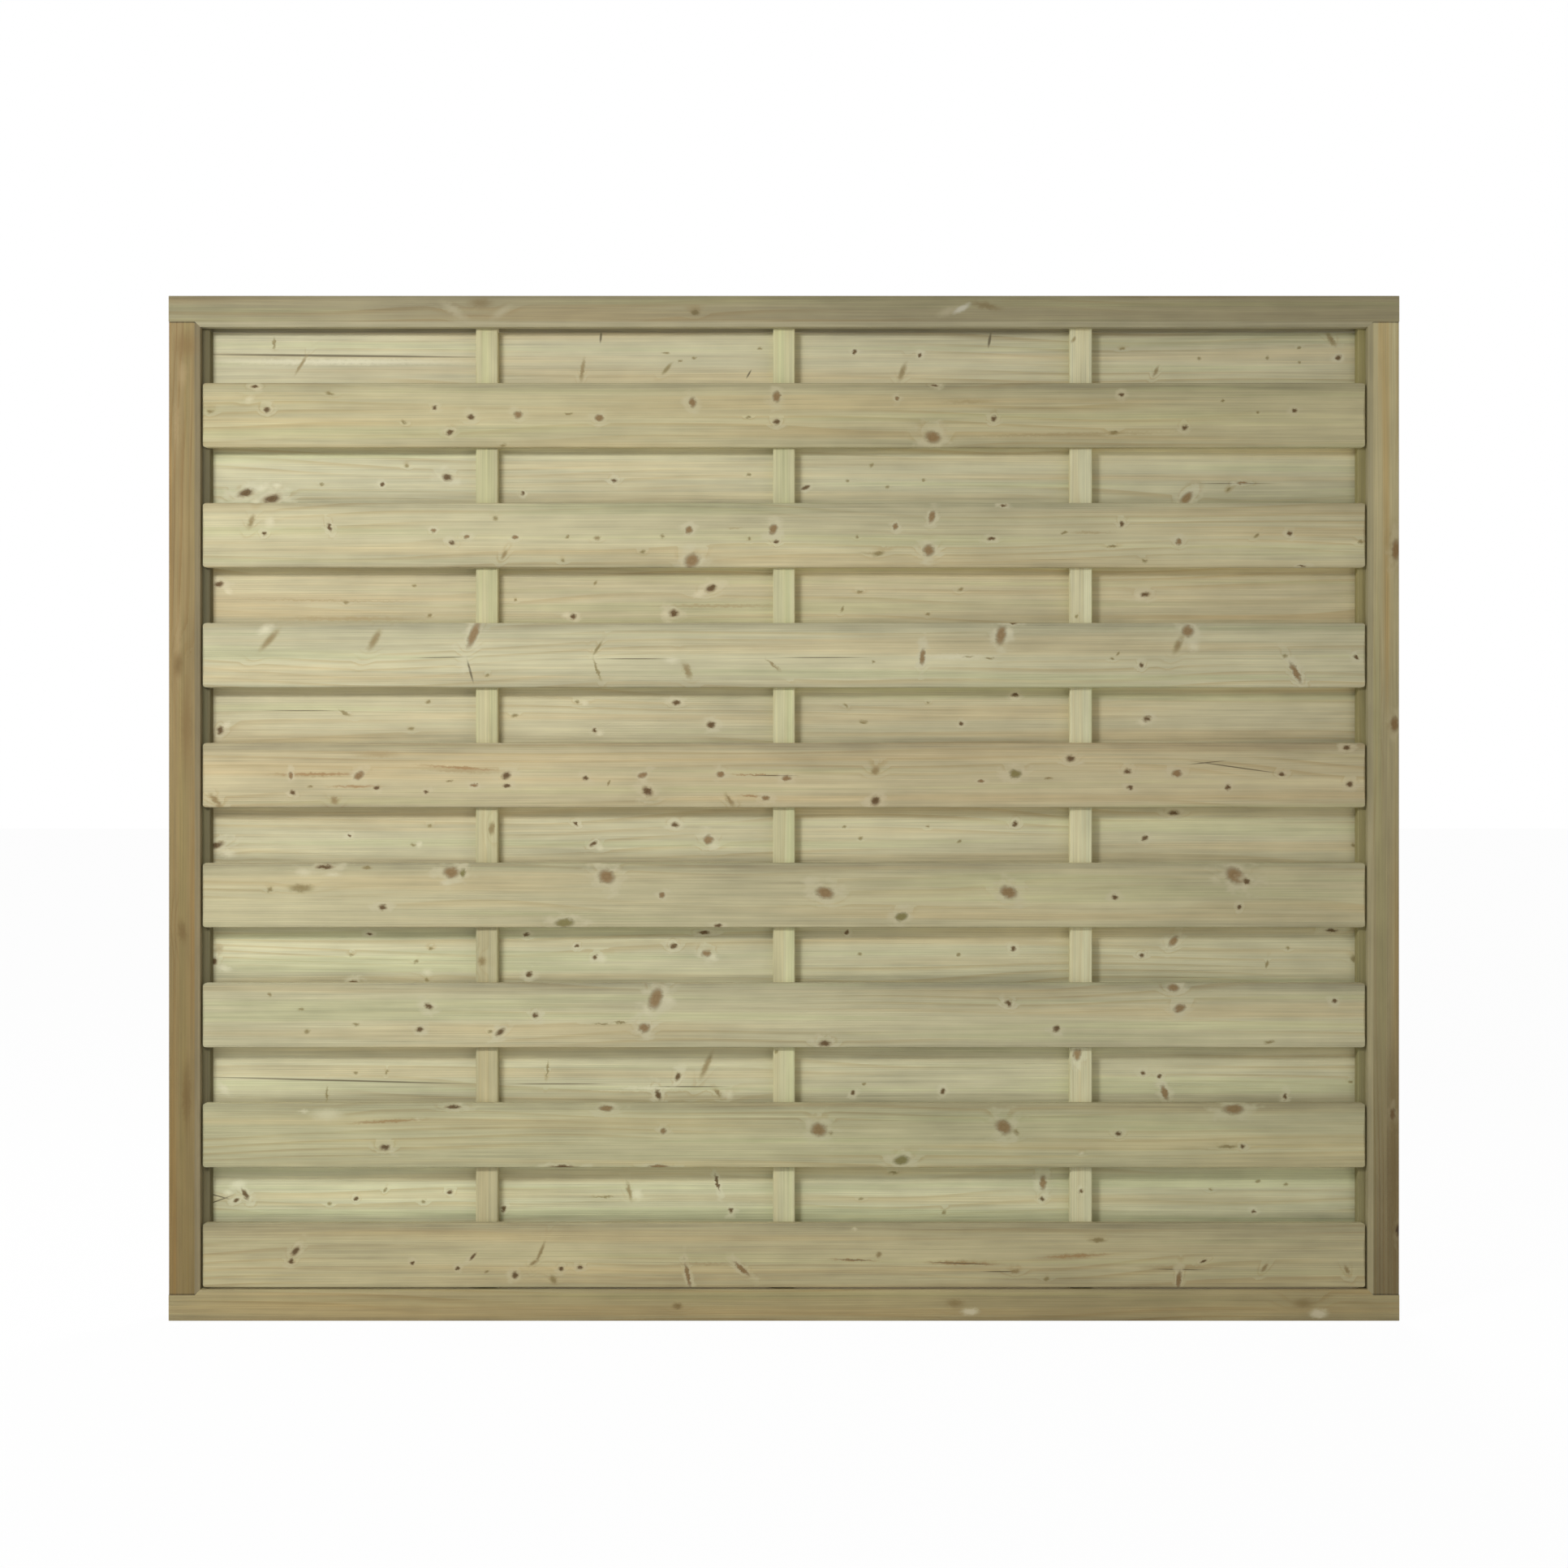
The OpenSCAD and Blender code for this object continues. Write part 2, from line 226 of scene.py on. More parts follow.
        "dark": [(104, 25, 13, 6.5, 15), (142, 16, 15, 7, 12), (306, 38, 3.5, 3.5, 0),
                 (402, 48, 8.5, 5.5, -20), (513, 24, 3, 4, 0), (649, 44, 5, 3.5, 0), (932, 33, 6.5, 3, 15)],
        "red": [(1495, 17, 12, 6.5, 45), (1578, 40, 8, 2, 0)],
        "pale": [(118, 10, 10, 8, 60), (128, 32, 12, 6, 30), (150, 36, 8, 5, 0)],
        "speck": [(216, 38, 4, 3, 0), (342, 65, 4, 3, 0), (848, 52, 4, 3, 0), (994, 43, 3, 3, 0),
                  (1029, 66, 3.5, 3, 0), (1053, 34, 3, 3, 0), (1107, 45, 3, 3, 0), (1558, 31, 5, 2.5, 45)],
        "crack": [(1566, 39, 68, 0.8, 0)],
    },
    "back_slat_3": {
        "dark": [(64, 66, 7.5, 5, 15), (588, 18, 4.5, 4.5, 0), (737, 23, 7.5, 6, 0), (792, 60, 9, 5.5, 20),
                 (1434, 51, 7, 4, 0)],
        "speck": [(252, 39, 5, 3, 0), (353, 64, 4, 3, 0), (376, 20, 3.5, 3.5, 0), (503, 43, 3, 2.5, 0),
                  (621, 68, 5, 2.5, 50), (986, 29, 5, 2.5, 70), (1012, 55, 5, 3, 0), (1113, 22, 3, 3, 0),
                  (1161, 58, 5, 3, 30)],
        "pale": [(78, 56, 8, 5, -30), (578, 20, 8, 5, 0), (725, 22, 8, 6, 0), (775, 52, 12, 6, 20),
                 (1426, 48, 10, 7, 0)],
        "blush": [(220, 42, 170, 1.6, -1), (250, 15, 150, 4, 0), (800, 34, 120, 3, 0)],
    },
    "back_slat_4": {
        "dark": [(66, 26, 5.5, 6, 0), (620, 26, 4, 3.5, 0), (741, 67, 7, 4, 0), (792, 34, 7, 5.5, 0),
                 (1162, 36, 4, 3.5, 0), (1242, 78, 6, 3.5, 0), (1437, 43, 6.5, 4.5, 0)],
        "speck": [(250, 52, 10, 3, -30), (348, 28, 5, 3, 0), (374, 68, 4, 3, 0), (502, 48, 5, 3, 0),
                  (594, 68, 4, 3, 0), (991, 62, 5, 2.5, -40), (1017, 38, 7, 2.5, -10),
                  (1113, 67, 3, 2.5, 0)],
        "crack": [(190, 55, 58, 0.8, 0)],
        "pale": [(75, 34, 8, 6, 30), (605, 66, 7, 5, 0), (628, 22, 7, 5, 0), (1430, 38, 9, 6, 0)],
    },
    "back_slat_5": {
        "dark": [(60, 32, 13, 5, 15), (257, 46, 3.5, 3, 0), (592, 64, 5, 2.5, -40), (618, 34, 6, 3.5, 25),
                 (739, 62, 6.5, 4.5, 0), (1242, 64, 4.5, 4.5, 0), (1434, 43, 5, 4, 0), (1477, 80, 9, 4, 0)],
        "red": [(788, 40, 7.5, 6.5, 0)],
        "speck": [(352, 33, 5, 3, 0), (376, 61, 4, 3, 0), (989, 59, 3, 2.5, 0), (1013, 42, 3.5, 3, 0),
                  (1112, 59, 3, 2.5, 0), (1160, 38, 4.5, 2.5, 30), (1743, 32, 5, 4, 0)],
        "pale": [(77, 20, 15, 7, -10), (360, 33, 6, 5, 0), (628, 28, 6, 5, 0), (796, 30, 9, 7, 0)],
    },
    "back_slat_6": {
        "dark": [(57, 36, 5, 6, 0), (262, 5, 7, 4, 0), (287, 77, 5, 2.5, 0), (519, 76, 5, 3, 0),
                 (523, 17, 5.5, 4.5, 0), (594, 59, 3.5, 3, 0), (620, 42, 4.5, 3.5, 30), (737, 59, 6, 4.5, 0),
                 (782, 79, 10, 3, 0), (993, 79, 3.5, 3, 0), (1239, 55, 4.5, 4, 0), (1429, 45, 4.5, 3, 0),
                 (1710, 82, 10, 3, 0)],
        "red": [(785, 48, 7, 5.5, 0), (1476, 66, 9, 5.5, 50)],
        "speck": [(260, 46, 4, 2.5, 0), (356, 36, 5, 3, 20), (372, 9, 4, 4, 0), (378, 56, 4, 3, 0),
                  (1012, 47, 4, 3, 0), (1158, 46, 4, 3, 0), (1614, 32, 7, 2, 80), (1645, 56, 3.5, 3, 0),
                  (1743, 40, 6, 6, 0)],
        "pale": [(72, 26, 13, 6, -10), (372, 20, 6, 9, 90), (630, 40, 9, 7, 0), (795, 42, 9, 7, 0)],
        "blush": [(64, 55, 8, 10, 0)],
    },
    "back_slat_7": {
        "crack": [(247, 36, 225, 1.5, -1.5), (564, 31, 82, 1.0, 0), (760, 27, 60, 1.0, 0)],
        "tan": [(785, 58, 24, 5.5, 66), (802, 18, 9, 4, -50)],
        "dark": [(714, 15, 9, 4.5, -70), (743, 42, 7, 4, 70), (1002, 18, 4.5, 3.5, 80), (1135, 20, 5, 4, 80),
                 (1431, 47, 4, 4, 0), (1455, 42, 3.5, 3.5, 0), (1641, 12, 5, 3.5, 90)],
        "red": [(1463, 18, 12, 5, -70)],
        "speck": [(224, 16, 12, 2, 90), (266, 47, 4, 2.5, 0), (312, 48, 4, 2, 80), (550, 52, 14, 2, 85),
                  (1018, 31, 3.5, 2.5, 0), (1738, 34, 4, 3, 0)],
        "pale": [(71, 24, 14, 7, -45), (700, 25, 60, 3, 0), (818, 15, 9, 8, -40)],
    },
    "back_slat_8": {
        "dark": [(90, 35, 6, 3, 30), (103, 44, 10, 4, -60), (267, 37, 3.5, 3, 0), (406, 47, 4, 3.5, 0),
                 (485, 22, 4, 5, 0), (801, 61, 13, 2.5, -75), (821, 20, 4, 4.5, 0), (1282, 37, 4.5, 3.5, 0),
                 (1595, 18, 4, 3, 0)],
        "red": [(1283, 61, 11, 5.5, 90)],
        "tan": [(671, 48, 17, 4, -78)],
        "speck": [(228, 30, 4, 3, 0), (310, 50, 4, 2.5, 60), (367, 33, 4, 3, 0), (632, 40, 18, 1.5, 0),
                  (1014, 37, 4, 2.5, 0), (1062, 76, 8, 3, 0), (1137, 17, 5, 3, 80), (1531, 51, 4, 3, 0),
                  (1601, 63, 4, 2.5, 0), (1642, 58, 4, 2.5, 0)],
        "pale": [(78, 46, 9, 5, 0), (92, 58, 14, 8, 20), (683, 44, 10, 9, -60)],
        "crack": [(60, 42, 24, 1.2, -15), (62, 34, 26, 1.2, 20)],
    },
    "left_batten": {"tan": [(-225, 9, 8, 7, 0), (-30, 23, 11, 5, 0)]},
    "middle_batten": {"speck": [(-358, 5, 3, 3, 0)]},
    "right_batten": {
        "red": [(-362, 10, 9, 6, 0)],
        "dark": [(-563, 16, 3.5, 3.5, 0)],
        "speck": [(282, 9, 3, 3, 0)],
        "tan": [(689, 5, 6, 3, 30)],
    },
    "top_rail": {
        "brown": [(456, 34, 20, 9, 0), (1196, 30, 26, 6, -12)],
        "pale": [(418, 22, 26, 8, -35), (486, 20, 20, 7, 30), (1140, 22, 20, 7, 20)],
        "bare": [(1160, 26, 15, 5, 30)],
        "speck": [(770, 20, 8, 5, 0)],
    },
    "bottom_rail": {
        "bare": [(1172, 14, 14, 6, 0), (1682, 11, 15, 8, 0)],
        "brown": [(1660, 26, 18, 9, 0), (1150, 26, 16, 8, 0)],
        "tan": [(744, 22, 9, 6, 0)],
    },
    "left_stile": {
        "blush": [(678, 24, 26, 22, 0), (120, 26, 90, 10, 0)],
        "pale": [(634, 20, 22, 8, 0), (560, 12, 50, 5, 0), (240, 14, 70, 6, 0)],
        "brown": [(210, 14, 22, 9, 6), (-180, 20, 20, 8, -8), (-420, 26, 60, 8, 0)],
    },
    "right_stile": {
        "brown": [(383, 38, 44, 14, 0), (123, 36, 20, 10, 0), (-520, 36, 210, 11, 0)],
        "red": [(378, 40, 16, 6, 0), (123, 38, 11, 6, 0), (-447, 35, 8, 4, 0)],
        "dark": [(-617, 43, 10, 4, 0)],
    },
}

# How each kind looks: factors on the board's tone inside it and at its rim, where its edge starts
# and ends in its own radii, how much it covers, and how far the growth rings part round it
Look = namedtuple("Look", "inner rim start end cover parting")
LOOKS = {
    "pale": Look((1.30, 1.31, 1.45), (1.30, 1.31, 1.45), 0.05, 1.30, 0.75, 0.3),
    "bare": Look((1.75, 1.90, 2.60), (1.60, 1.75, 2.30), 0.30, 1.30, 0.80, 0.0),
    "brown": Look((0.66, 0.58, 0.46), (0.72, 0.64, 0.52), 0.10, 1.30, 0.85, 1.2),
    "blush": Look((0.76, 0.66, 0.55), (0.76, 0.66, 0.55), 0.10, 1.15, 0.75, 0.0),
    "streak": Look((0.72, 0.52, 0.38), (0.80, 0.64, 0.50), 0.20, 1.25, 0.90, 0.0),
    "crack": Look((0.26, 0.23, 0.20), (0.30, 0.27, 0.24), 0.40, 1.20, 0.90, 0.0),
    "speck": Look((0.46, 0.39, 0.24), (0.60, 0.53, 0.38), 0.25, 1.35, 0.85, 0.5),
    "olive": Look((0.42, 0.40, 0.22), (0.30, 0.28, 0.15), 0.50, 1.30, 0.95, 1.4),
    "tan": Look((0.52, 0.42, 0.29), (0.64, 0.54, 0.40), 0.20, 1.30, 0.88, 1.0),
    "red": Look((0.50, 0.35, 0.24), (0.34, 0.23, 0.14), 0.45, 1.35, 0.95, 1.5),
    "dark": Look((0.18, 0.10, 0.04), (0.42, 0.30, 0.17), 0.35, 1.40, 0.95, 1.5),
}
# Knots have a pale halo. It fades out between two distances from the knot, in the knot's own radii.
# The patchiness is how much a noise adds to that distance.
KNOTS = ("olive", "red", "dark")
HALO = (1.15, 1.16, 1.26)
HALO_FADE = (5.4, 3.0)
HALO_PATCHINESS = 5.0
HALO_COVER = 0.7
# Growth rings inside a feature, for each of its radii, and how strongly they show
OWN_RINGS = 2.6
OWN_RINGS_COVER = 0.4

# Noises in the wood: patches in a metre along the board and across it, then detail and roughness
RAGGED = (120.0, 190.0, 3.0, 0.6)
HALO_PATCHES = (45.0, 80.0, 2.0)
RING_DRIFT = (1.3, 9.0)
RING_PATCHES = (1.7, 25.0, 0.0)
BROAD = (0.9, 42.0, 2.0)
FIBRE = (7.0, 700.0, 0.0)
FINE = (2.2, 160.0, 2.0)
BLOTCH = (14.0, 40.0, 2.0)
CLOUD = (2.6, 16.0, 2.0)
# How much each of these changes the brightness, up and down
FIBRE_CHANGE = 0.12
FINE_CHANGE = 0.18
BLOTCH_CHANGE = 0.12
CLOUD_CHANGE = 0.12
# Where streaks start and reach their full strength, in the broad noise, and how much the green ones cover
WARM_RANGE = (0.5, 0.72)
GREEN_RANGE = (0.46, 0.3)
GREEN_COVER = 0.7
# How far a ragged edge strays, in metres
STRAY = 0.0032
# How far the rings drift, in rings, and the distances from a feature where they part round it
DRIFT = 5.0
PARTING = (3.2, 0.6)
# Where the late wood of a ring starts and ends, in shares of the ring, and where it shows, in its noise
LATE_START = (0.45, 0.9)
LATE_END = (1.0, 0.93)
LATE_RANGE = (0.35, 0.7)
# How much a board's depth leans into its grain, so that the grain runs on over the edges
DEPTH_LEAN = 0.8
# How far apart in the noise two boards lie, in metres along and across
BOARD_SHIFT = (3.17, 1.31)


class Graph:
    """Adds nodes to a node tree and joins their sockets."""

    def __init__(self, tree):
        self.tree = tree

    def put(self, socket, value):
        if isinstance(value, bpy.types.NodeSocket):
            self.tree.links.new(value, socket)
        elif value is not None:
            if socket.type == "RGBA" and len(value) == 3:
                value = (*value, 1.0)
            socket.default_value = value

    def node(self, kind, *inputs, **settings):
        made = self.tree.nodes.new(kind)
        for name, value in settings.items():
            setattr(made, name, value)
        for socket, value in zip(made.inputs, inputs):
            self.put(socket, value)
        return made

    def math(self, operation, a, b=None, c=None):
        return self.node("ShaderNodeMath", a, b, c, operation=operation).outputs[0]

    def vector(self, operation, a, b=None):
        made = self.node("ShaderNodeVectorMath", a, b, operation=operation)
        return made.outputs["Value" if operation == "LENGTH" else "Vector"]

    def tinted(self, tone, factors):
        """A tone times factors, where the tone is a colour or a socket."""
        if isinstance(tone, bpy.types.NodeSocket):
            return self.vector("MULTIPLY", tone, factors)
        return tinted(tone, factors)

    def times(self, colour, factor):
        made = self.node("ShaderNodeVectorMath", colour, operation="SCALE")
        self.put(made.inputs["Scale"], factor)
        return made.outputs["Vector"]

    def step(self, value, start, end, low=0.0, high=1.0):
        """Goes smoothly from low to high as the value goes from start to end."""
        made = self.node("ShaderNodeMapRange", interpolation_type="SMOOTHSTEP")
        for name, given in (("Value", value), ("From Min", start), ("From Max", end),
                            ("To Min", low), ("To Max", high)):
            self.put(made.inputs[name], given)
        return made.outputs[0]

    def scale(self, value, start, end, low, high):
        """Goes evenly from low to high as the value goes from start to end."""
        made = self.node("ShaderNodeMapRange", value, start, end, low, high)
        return made.outputs[0]

    def mix(self, factor, a, b):
        made = self.node("ShaderNodeMix", data_type="RGBA")
        for index, given in ((0, factor), (6, a), (7, b)):
            self.put(made.inputs[index], given)
        return made.outputs[2]

    def noise(self, place, along, across, detail=1.0, rough=0.5):
        spread = self.vector("MULTIPLY", place, (along, across, 0.0))
        made = self.node("ShaderNodeTexNoise", noise_dimensions="2D")
        for name, given in (("Vector", spread), ("Scale", 1.0), ("Detail", detail), ("Roughness", rough)):
            self.put(made.inputs[name], given)
        return made.outputs["Fac"]


def tinted(tone, factors):
    return tuple(c * k for c, k in zip(tone, factors))


def lay_place(graph, upright, seed):
    """Position in metres along the board and across it, as it is and shifted for this board.

    Depth leans into the shifted one's second measure, so that the grain runs on over the edges."""
    place = graph.node("ShaderNodeTexCoord").outputs["Object"]
    split = graph.node("ShaderNodeSeparateXYZ", place).outputs
    along, across = (split["Z"], split["X"]) if upright else (split["X"], split["Z"])
    laid = graph.node("ShaderNodeCombineXYZ", along, across, 0.0).outputs[0]
    leaning = graph.math("MULTIPLY_ADD", split["Y"], DEPTH_LEAN, across)
    own = graph.node("ShaderNodeCombineXYZ", along, leaning, 0.0).outputs[0]
    shift = (seed * BOARD_SHIFT[0], seed * BOARD_SHIFT[1], 0.0)
    return laid, along, across, graph.vector("ADD", own, shift)


def nearest_feature(graph, place, board_edge, features):
    """Distance to the nearest of the features, in their own radii."""
    nearest = None
    for along, across, half_length, half_height, turn in features:
        local = graph.node("ShaderNodeMapping", vector_type="TEXTURE")
        middle = (along / MM_PER_METRE, board_edge + across / MM_PER_METRE, 0.0)
        radii = (half_length / MM_PER_METRE, half_height / MM_PER_METRE, 1.0)
        for name, given in (("Vector", place), ("Location", middle), ("Scale", radii),
                            ("Rotation", (0.0, 0.0, math.radians(turn)))):
            graph.put(local.inputs[name], given)
        reach = graph.vector("LENGTH", local.outputs[0])
        nearest = reach if nearest is None else graph.math("MINIMUM", nearest, reach)
    return nearest


def find_features(graph, node, place, own, board_edge):
    """For each kind on this board, the distance to the nearest one.

    Every feature has a ragged edge, except for the cracks, which run straight."""
    stray = graph.math("MULTIPLY_ADD", graph.noise(own, *RAGGED), 2 * STRAY, -STRAY)
    bent = graph.vector("ADD", place, graph.node("ShaderNodeCombineXYZ", stray, stray, 0.0).outputs[0])
    fields = {}
    for kind, features in FEATURES.get(node, {}).items():
        fields[kind] = nearest_feature(graph, place if kind == "crack" else bent, board_edge, features)
    return fields


def late_wood(graph, own, rings, fields):
    """How far each place is in the dark part of a growth ring.

    The rings are cut flat, so they run as long streaks, and they part round the features."""
    bulge = 0.0
    for kind, reach in fields.items():
        if LOOKS[kind].parting:
            bulge = graph.math("ADD", graph.step(reach, *PARTING, 0.0, LOOKS[kind].parting), bulge)
    across = graph.node("ShaderNodeSeparateXYZ", own).outputs["Y"]
    drift = graph.math("MULTIPLY", graph.noise(own, *RING_DRIFT), DRIFT)
    ring = graph.math("MULTIPLY_ADD", across, rings, drift)
    phase = graph.math("FRACT", graph.math("ADD", ring, bulge))
    late = graph.math("MULTIPLY", graph.step(phase, *LATE_START), graph.step(phase, *LATE_END))
    return graph.math("MULTIPLY", late, graph.step(graph.noise(own, *RING_PATCHES), *LATE_RANGE))


def lay_streaks(graph, colour, base, own, streak, warmth):
    """Lays broad streaks over the wood, some warmer than it and some greener."""
    broad = graph.noise(own, *BROAD)
    warm = graph.math("MULTIPLY", graph.step(broad, *WARM_RANGE), warmth)
    colour = graph.mix(warm, colour, graph.tinted(base, streak))
    green = graph.step(broad, *GREEN_RANGE, 0.0, GREEN_COVER)
    return graph.mix(green, colour, graph.tinted(base, GREENISH))


def brightness(graph, own, fibre, fine):
    """A factor of about 1 that the fibres, fine lines, small blotches and larger clouds change."""
    blotch = graph.noise(own, *BLOTCH)
    cloud = graph.noise(own, *CLOUD)
    light = graph.math("ADD", graph.scale(fibre, 0.0, 1.0, -FIBRE_CHANGE, FIBRE_CHANGE),
                       graph.scale(fine, 0.0, 1.0, -FINE_CHANGE, FINE_CHANGE))
    light = graph.math("ADD", light, graph.scale(blotch, 0.0, 1.0, 1.0 - BLOTCH_CHANGE, 1.0 + BLOTCH_CHANGE))
    return graph.math("ADD", light, graph.scale(cloud, 0.2, 0.8, -CLOUD_CHANGE, CLOUD_CHANGE))


def draw_features(graph, colour, tone, fields, patches):
    """Lays the features over the wood, with rings in them and a patchy pale halo round the knots."""
    for kind, look in LOOKS.items():
        if kind not in fields:
            continue
        reach = fields[kind]
        if kind in KNOTS:
            patchy = graph.math("MULTIPLY_ADD", patches, HALO_PATCHINESS, reach)
            halo = graph.step(patchy, *HALO_FADE, 0.0, HALO_COVER)
            colour = graph.mix(halo, colour, graph.tinted(tone, HALO))
        phase = graph.math("FRACT", graph.math("MULTIPLY", reach, OWN_RINGS))
        rings = graph.step(phase, 0.5, 1.0, 0.0, OWN_RINGS_COVER)
        inside = graph.mix(graph.math("MAXIMUM", rings, graph.step(reach, 0.5, 1.0)),
                           graph.tinted(tone, look.inner), graph.tinted(tone, look.rim))
        colour = graph.mix(graph.step(reach, look.end, look.start, 0.0, look.cover), colour, inside)
    return colour


def finish_face(graph, colour, fibre, fine):
    """A dull planed face in this colour, with the relief of its fibres."""
    shader = graph.tree.nodes["Principled BSDF"]
    graph.put(shader.inputs["Base Color"], colour)
    graph.put(shader.inputs["Roughness"], graph.scale(fine, 0.2, 0.8, 0.62, 0.82))
    shader.inputs["Specular IOR Level"].default_value = 0.35
    bump = graph.node("ShaderNodeBump")
    bump.inputs["Strength"].default_value = 0.35
    bump.inputs["Distance"].default_value = 0.0006
    graph.put(bump.inputs["Height"], fibre)
    graph.put(shader.inputs["Normal"], bump.outputs[0])


def pine(name, node, tone, seed, upright=False, rings=70.0, figure=0.75, warmth=0.6,
         streak=WARM_STREAK, low_tone=None, bands=(), strip=None, joint_line=False):
    """Planed treated pine, with rings that part round its knots.

    Rings is their number in a metre across the board, figure how strongly they show, and warmth how
    strongly the streaks show. The tone goes over to low_tone towards the lower end.
    The bands are painted shade and highlight, each (from, to, change): how the brightness changes
    from one place across the board to another.
    The strip is painted light and shade on a chamfer, (from, to, tone): another tone that the board
    takes on from one place to another."""
    material = bpy.data.materials.new(name)
    material.use_nodes = True
    graph = Graph(material.node_tree)
    place, along, across, own = lay_place(graph, upright, seed)
    low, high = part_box(node)
    fields = find_features(graph, node, place, own, low.x if upright else low.z)

    base = tone
    if low_tone:
        base = graph.mix(graph.scale(along, low.z, high.z, 0.0, 1.0), low_tone, tone)
    late = graph.math("MULTIPLY", late_wood(graph, own, rings, fields), figure)
    colour = graph.mix(late, base, graph.tinted(base, LATE_WOOD))
    colour = lay_streaks(graph, colour, base, own, streak, warmth)
    # Painted light and shade on a chamfer, by how it faces the lamps
    if strip:
        start, end, strip_tone = strip
        colour = graph.mix(graph.step(across, start, end, 0.0, CHAMFER_COVER), colour, strip_tone)

    fibre = graph.noise(own, *FIBRE)
    fine = graph.noise(own, *FINE)
    light = brightness(graph, own, fibre, fine)
    # Painted shade and highlight in bands across the board
    for start, end, change in bands:
        light = graph.math("ADD", light, graph.step(across, start, end, 0.0, change))
    if joint_line:
        start, end, change = JOINT_LINE
        line = graph.step(graph.math("ABSOLUTE", along), start, end, 0.0, change)
        light = graph.math("ADD", light, line)
    colour = graph.times(colour, light)
    colour = draw_features(graph, colour, base, fields, graph.noise(own, *HALO_PATCHES))
    finish_face(graph, colour, fibre, fine)
    return material


def dress(node, tone, seed, **looks):
    """Gives a CAD node its own board of pine."""
    material = pine(node + "_pine", node, tone, seed, **looks)
    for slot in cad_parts[node].material_slots:
        slot.material = material


def make_slats(side, tones, bands, seed):
    """One layer of slats, all with the same bands of painted shading."""
    for index, factors in tones.items():
        name = f"{side}_slat_{index}"
        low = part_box(name)[0].z
        placed = [(low + start, low + end, change) for start, end, change in bands]
        dress(name, tinted(PALE, factors), seed + index, bands=placed)


def make_battens():
    names = ("left_end_batten", "left_batten", "middle_batten", "right_batten", "right_end_batten")
    for index, name in enumerate(names):
        low_tone, high_tone = UPRIGHT_TONES[name]
        dress(name, high_tone, BATTEN_SEED + index, upright=True, figure=0.4, warmth=0.35, low_tone=low_tone)


def make_rails():
    """The rails are darker along their outer edges as painted shade, and the top rail's chamfer is paler as
    painted light.
    """
    top = PANEL_HIGH.z
    bottom = PANEL_LOW.z
    dress("top_rail", TOP_RAIL_TONE, FRAME_SEED, figure=0.8,
          strip=(SHOULDER + SOFT_EDGE, SHOULDER - SOFT_EDGE, CHAMFER_PAINTED_TONES["top_rail"]),
          bands=[(top - 0.008, top - 0.003, -0.15)])
    dress("bottom_rail", BOTTOM_RAIL_TONE, FRAME_SEED + 1, figure=0.8,
          bands=[(bottom + 0.010, bottom + 0.004, -0.15)])


def make_stiles():
    """The stiles have close rings, warm streaks, and chamfers toned with painted light and shade."""
    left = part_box("left_stile")[1].x - CHAMFER
    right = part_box("right_stile")[0].x + CHAMFER
    for name, seed, start, end in (("left_stile", FRAME_SEED + 2, left - SOFT_EDGE, left + SOFT_EDGE),
                                   ("right_stile", FRAME_SEED + 3, right + SOFT_EDGE, right - SOFT_EDGE)):
        low_tone, high_tone = UPRIGHT_TONES[name]
        dress(name, high_tone, seed, upright=True, rings=110.0, figure=0.9, warmth=0.8,
              streak=STILE_STREAK, low_tone=low_tone, strip=(start, end, CHAMFER_PAINTED_TONES[name]),
              joint_line=True)


def make_camera():
    """Square to the panel's front, a little above its middle. Seen width is that of the front plane."""
    distance = 2.70
    above_middle = 0.0356
    seen_width = 2.2933
    sensor = 36.0
    data = bpy.data.cameras.new("camera")
    data.sensor_width = sensor
    data.lens = sensor * distance / seen_width
    data.clip_end = 100.0
    camera = bpy.data.objects.new("camera", data)
    camera.location = (PANEL_CENTRE.x, PANEL_LOW.y - distance, PANEL_CENTRE.z + above_middle)
    camera.rotation_euler = (math.radians(90.0), 0.0, 0.0)
    bpy.context.scene.collection.objects.link(camera)
    bpy.context.scene.camera = camera


def area_light(name, place, target, width, height, power, colour):
    """A soft lamp that doesn't fade with distance, so that the whole panel is lit evenly."""
    data = bpy.data.lights.new(name, "AREA")
    data.shape = "RECTANGLE"
    data.size = width
    data.size_y = height
    data.energy = power
    data.color = colour
    data.use_nodes = True
    graph = Graph(data.node_tree)
    falloff = graph.node("ShaderNodeLightFalloff", 1.0, 0.0)
    graph.put(data.node_tree.nodes["Emission"].inputs["Strength"], falloff.outputs["Constant"])
    light = bpy.data.objects.new(name, data)
    light.location = place
    light.rotation_euler = (Vector(target) - Vector(place)).to_track_quat("-Z", "Y").to_euler()
    bpy.context.scene.collection.objects.link(light)


def seen_directly(graph):
    """1 for rays from the camera and for those that a glossy or clear surface sends on."""
    path = graph.node("ShaderNodeLightPath").outputs
    seen = graph.math("MAXIMUM", path["Is Camera Ray"], path["Is Glossy Ray"])
    return graph.math("MAXIMUM", seen, path["Is Transmission Ray"])


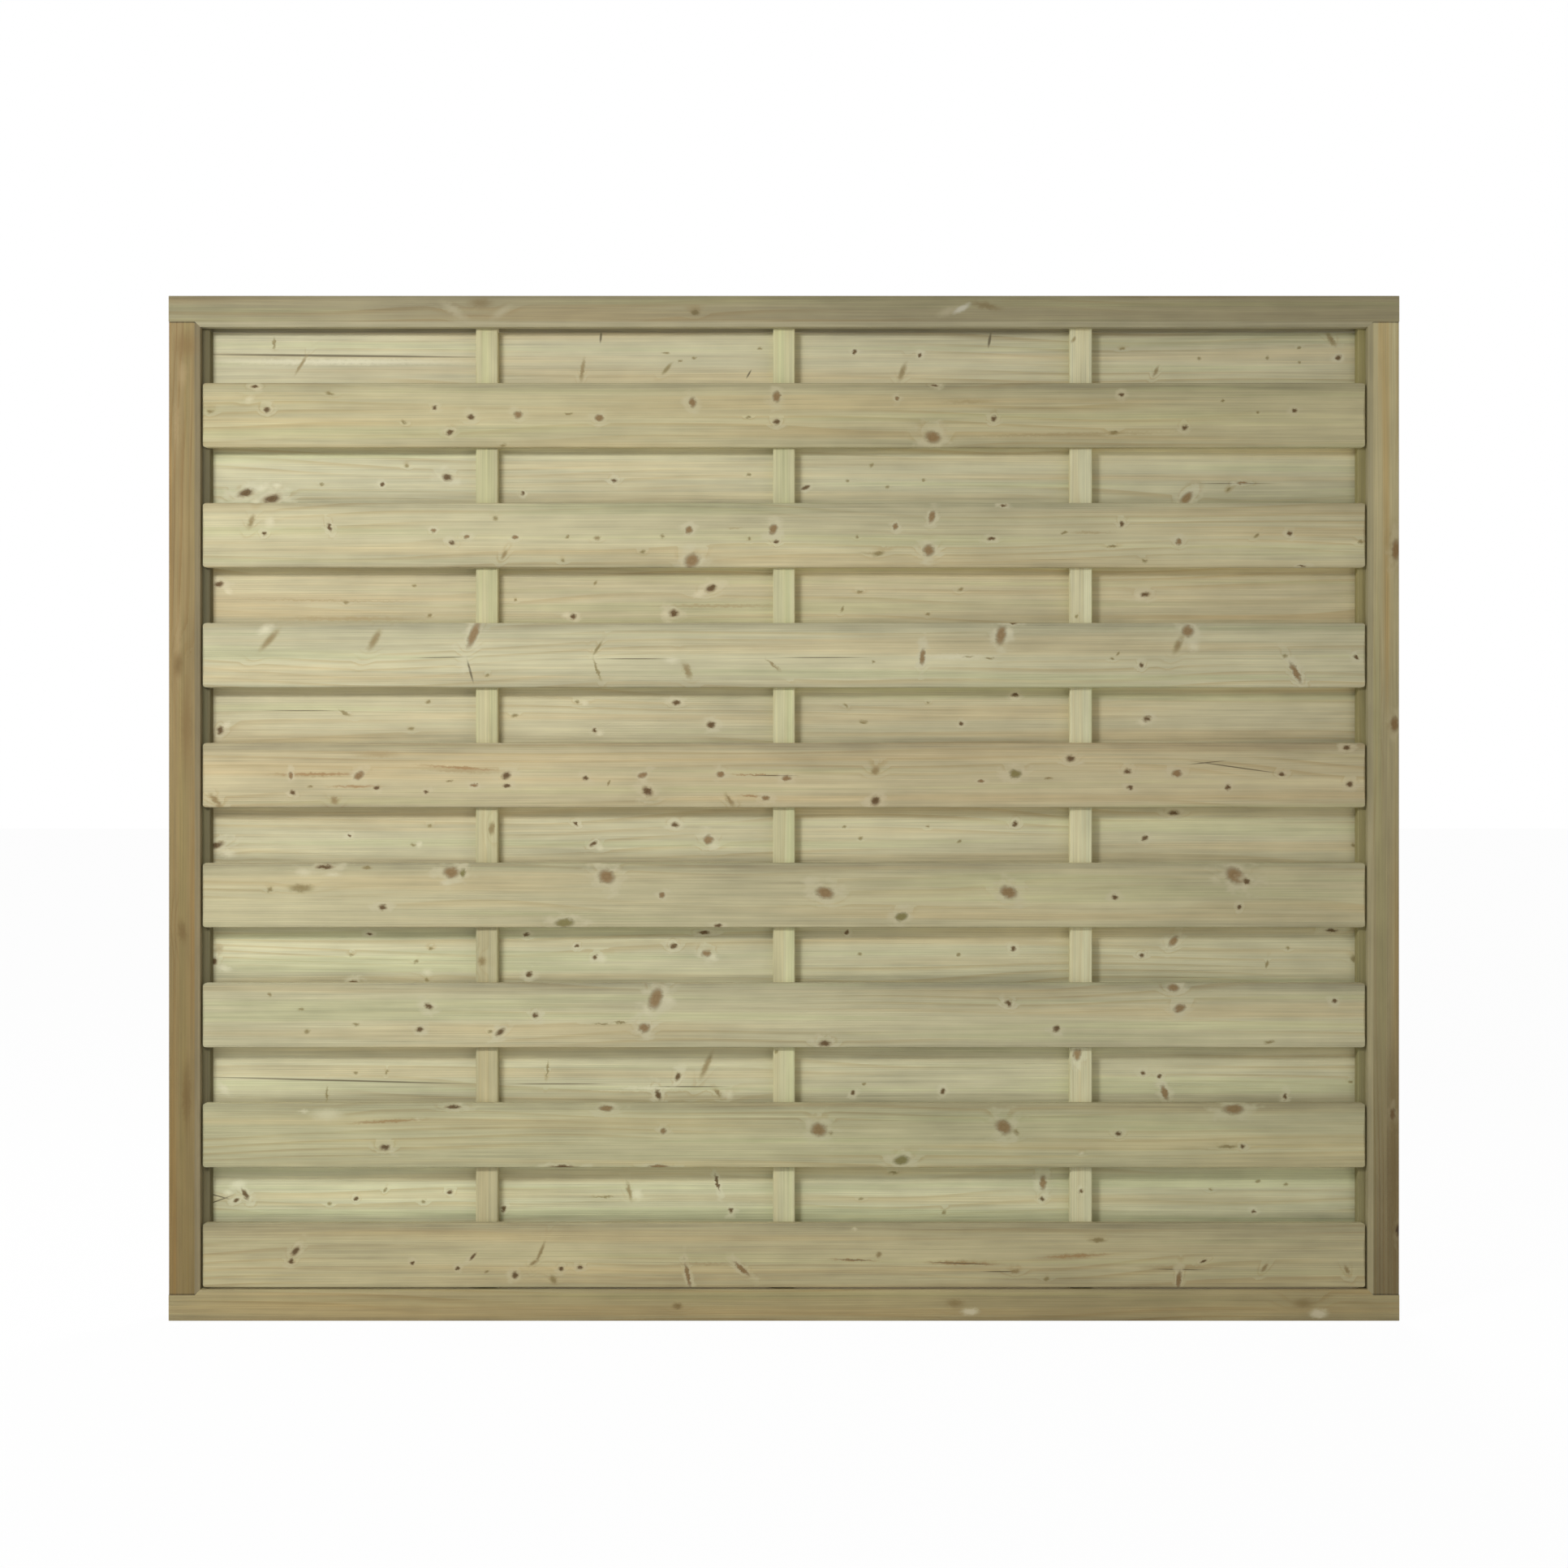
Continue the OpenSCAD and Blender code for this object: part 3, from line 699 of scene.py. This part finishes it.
def make_light():
    """A key from the upper left, a weak warm fill from the right, a lamp behind and a pale world."""
    centre = PANEL_CENTRE
    world_level = 0.315
    area_light("key", place=(centre.x - 1.05, -1.55, 1.02), target=(centre.x - 1.50, 0.0, -0.40),
               width=0.9, height=0.3, power=7.5, colour=(0.97, 0.98, 1.0))
    area_light("fill", place=(centre.x + 1.45, -1.55, 0.30), target=centre,
               width=0.5, height=0.5, power=0.7, colour=(1.0, 0.84, 0.62))
    area_light("back", place=(centre.x + 0.80, 1.90, 0.90), target=centre,
               width=0.9, height=0.6, power=6.0, colour=(1.0, 0.99, 0.97))
    world = bpy.data.worlds.new("studio")
    world.use_nodes = True
    bpy.context.scene.world = world
    graph = Graph(world.node_tree)
    background = world.node_tree.nodes["Background"]
    background.inputs["Color"].default_value = (1.0, 1.0, 1.0, 1.0)
    strength = graph.scale(seen_directly(graph), 0.0, 1.0, world_level, 1.0)
    graph.put(background.inputs["Strength"], strength)


def make_floor():
    """A wide pale floor, seen as the white background, that keeps the panel's shadow."""
    half = 30.0
    white_share = 0.97
    mesh = bpy.data.meshes.new("floor")
    z = PANEL_LOW.z
    corners = [(-half, -half, z), (half, -half, z), (half, half, z), (-half, half, z)]
    mesh.from_pydata(corners, [], [(0, 1, 2, 3)])
    floor = bpy.data.objects.new("floor", mesh)
    bpy.context.scene.collection.objects.link(floor)
    material = bpy.data.materials.new("pale_floor")
    material.use_nodes = True
    graph = Graph(material.node_tree)
    shader = material.node_tree.nodes["Principled BSDF"]
    shader.inputs["Base Color"].default_value = (0.80, 0.80, 0.80, 1.0)
    shader.inputs["Roughness"].default_value = 0.9
    output = material.node_tree.nodes["Material Output"]
    white = graph.node("ShaderNodeEmission", (1.0, 1.0, 1.0), 1.0).outputs[0]
    share = graph.math("MULTIPLY", seen_directly(graph), white_share)
    mixed = graph.node("ShaderNodeMixShader", share, shader.outputs[0], white)
    graph.put(output.inputs["Surface"], mixed.outputs[0])
    mesh.materials.append(material)


make_camera()
make_light()
make_floor()
make_slats("front", FRONT_TONES, FRONT_PAINTED_SHADING, FRONT_SEED)
make_slats("back", BACK_TONES, BACK_PAINTED_SHADING, BACK_SEED)
make_battens()
make_rails()
make_stiles()

scene = bpy.context.scene
scene.view_settings.view_transform = "Standard"
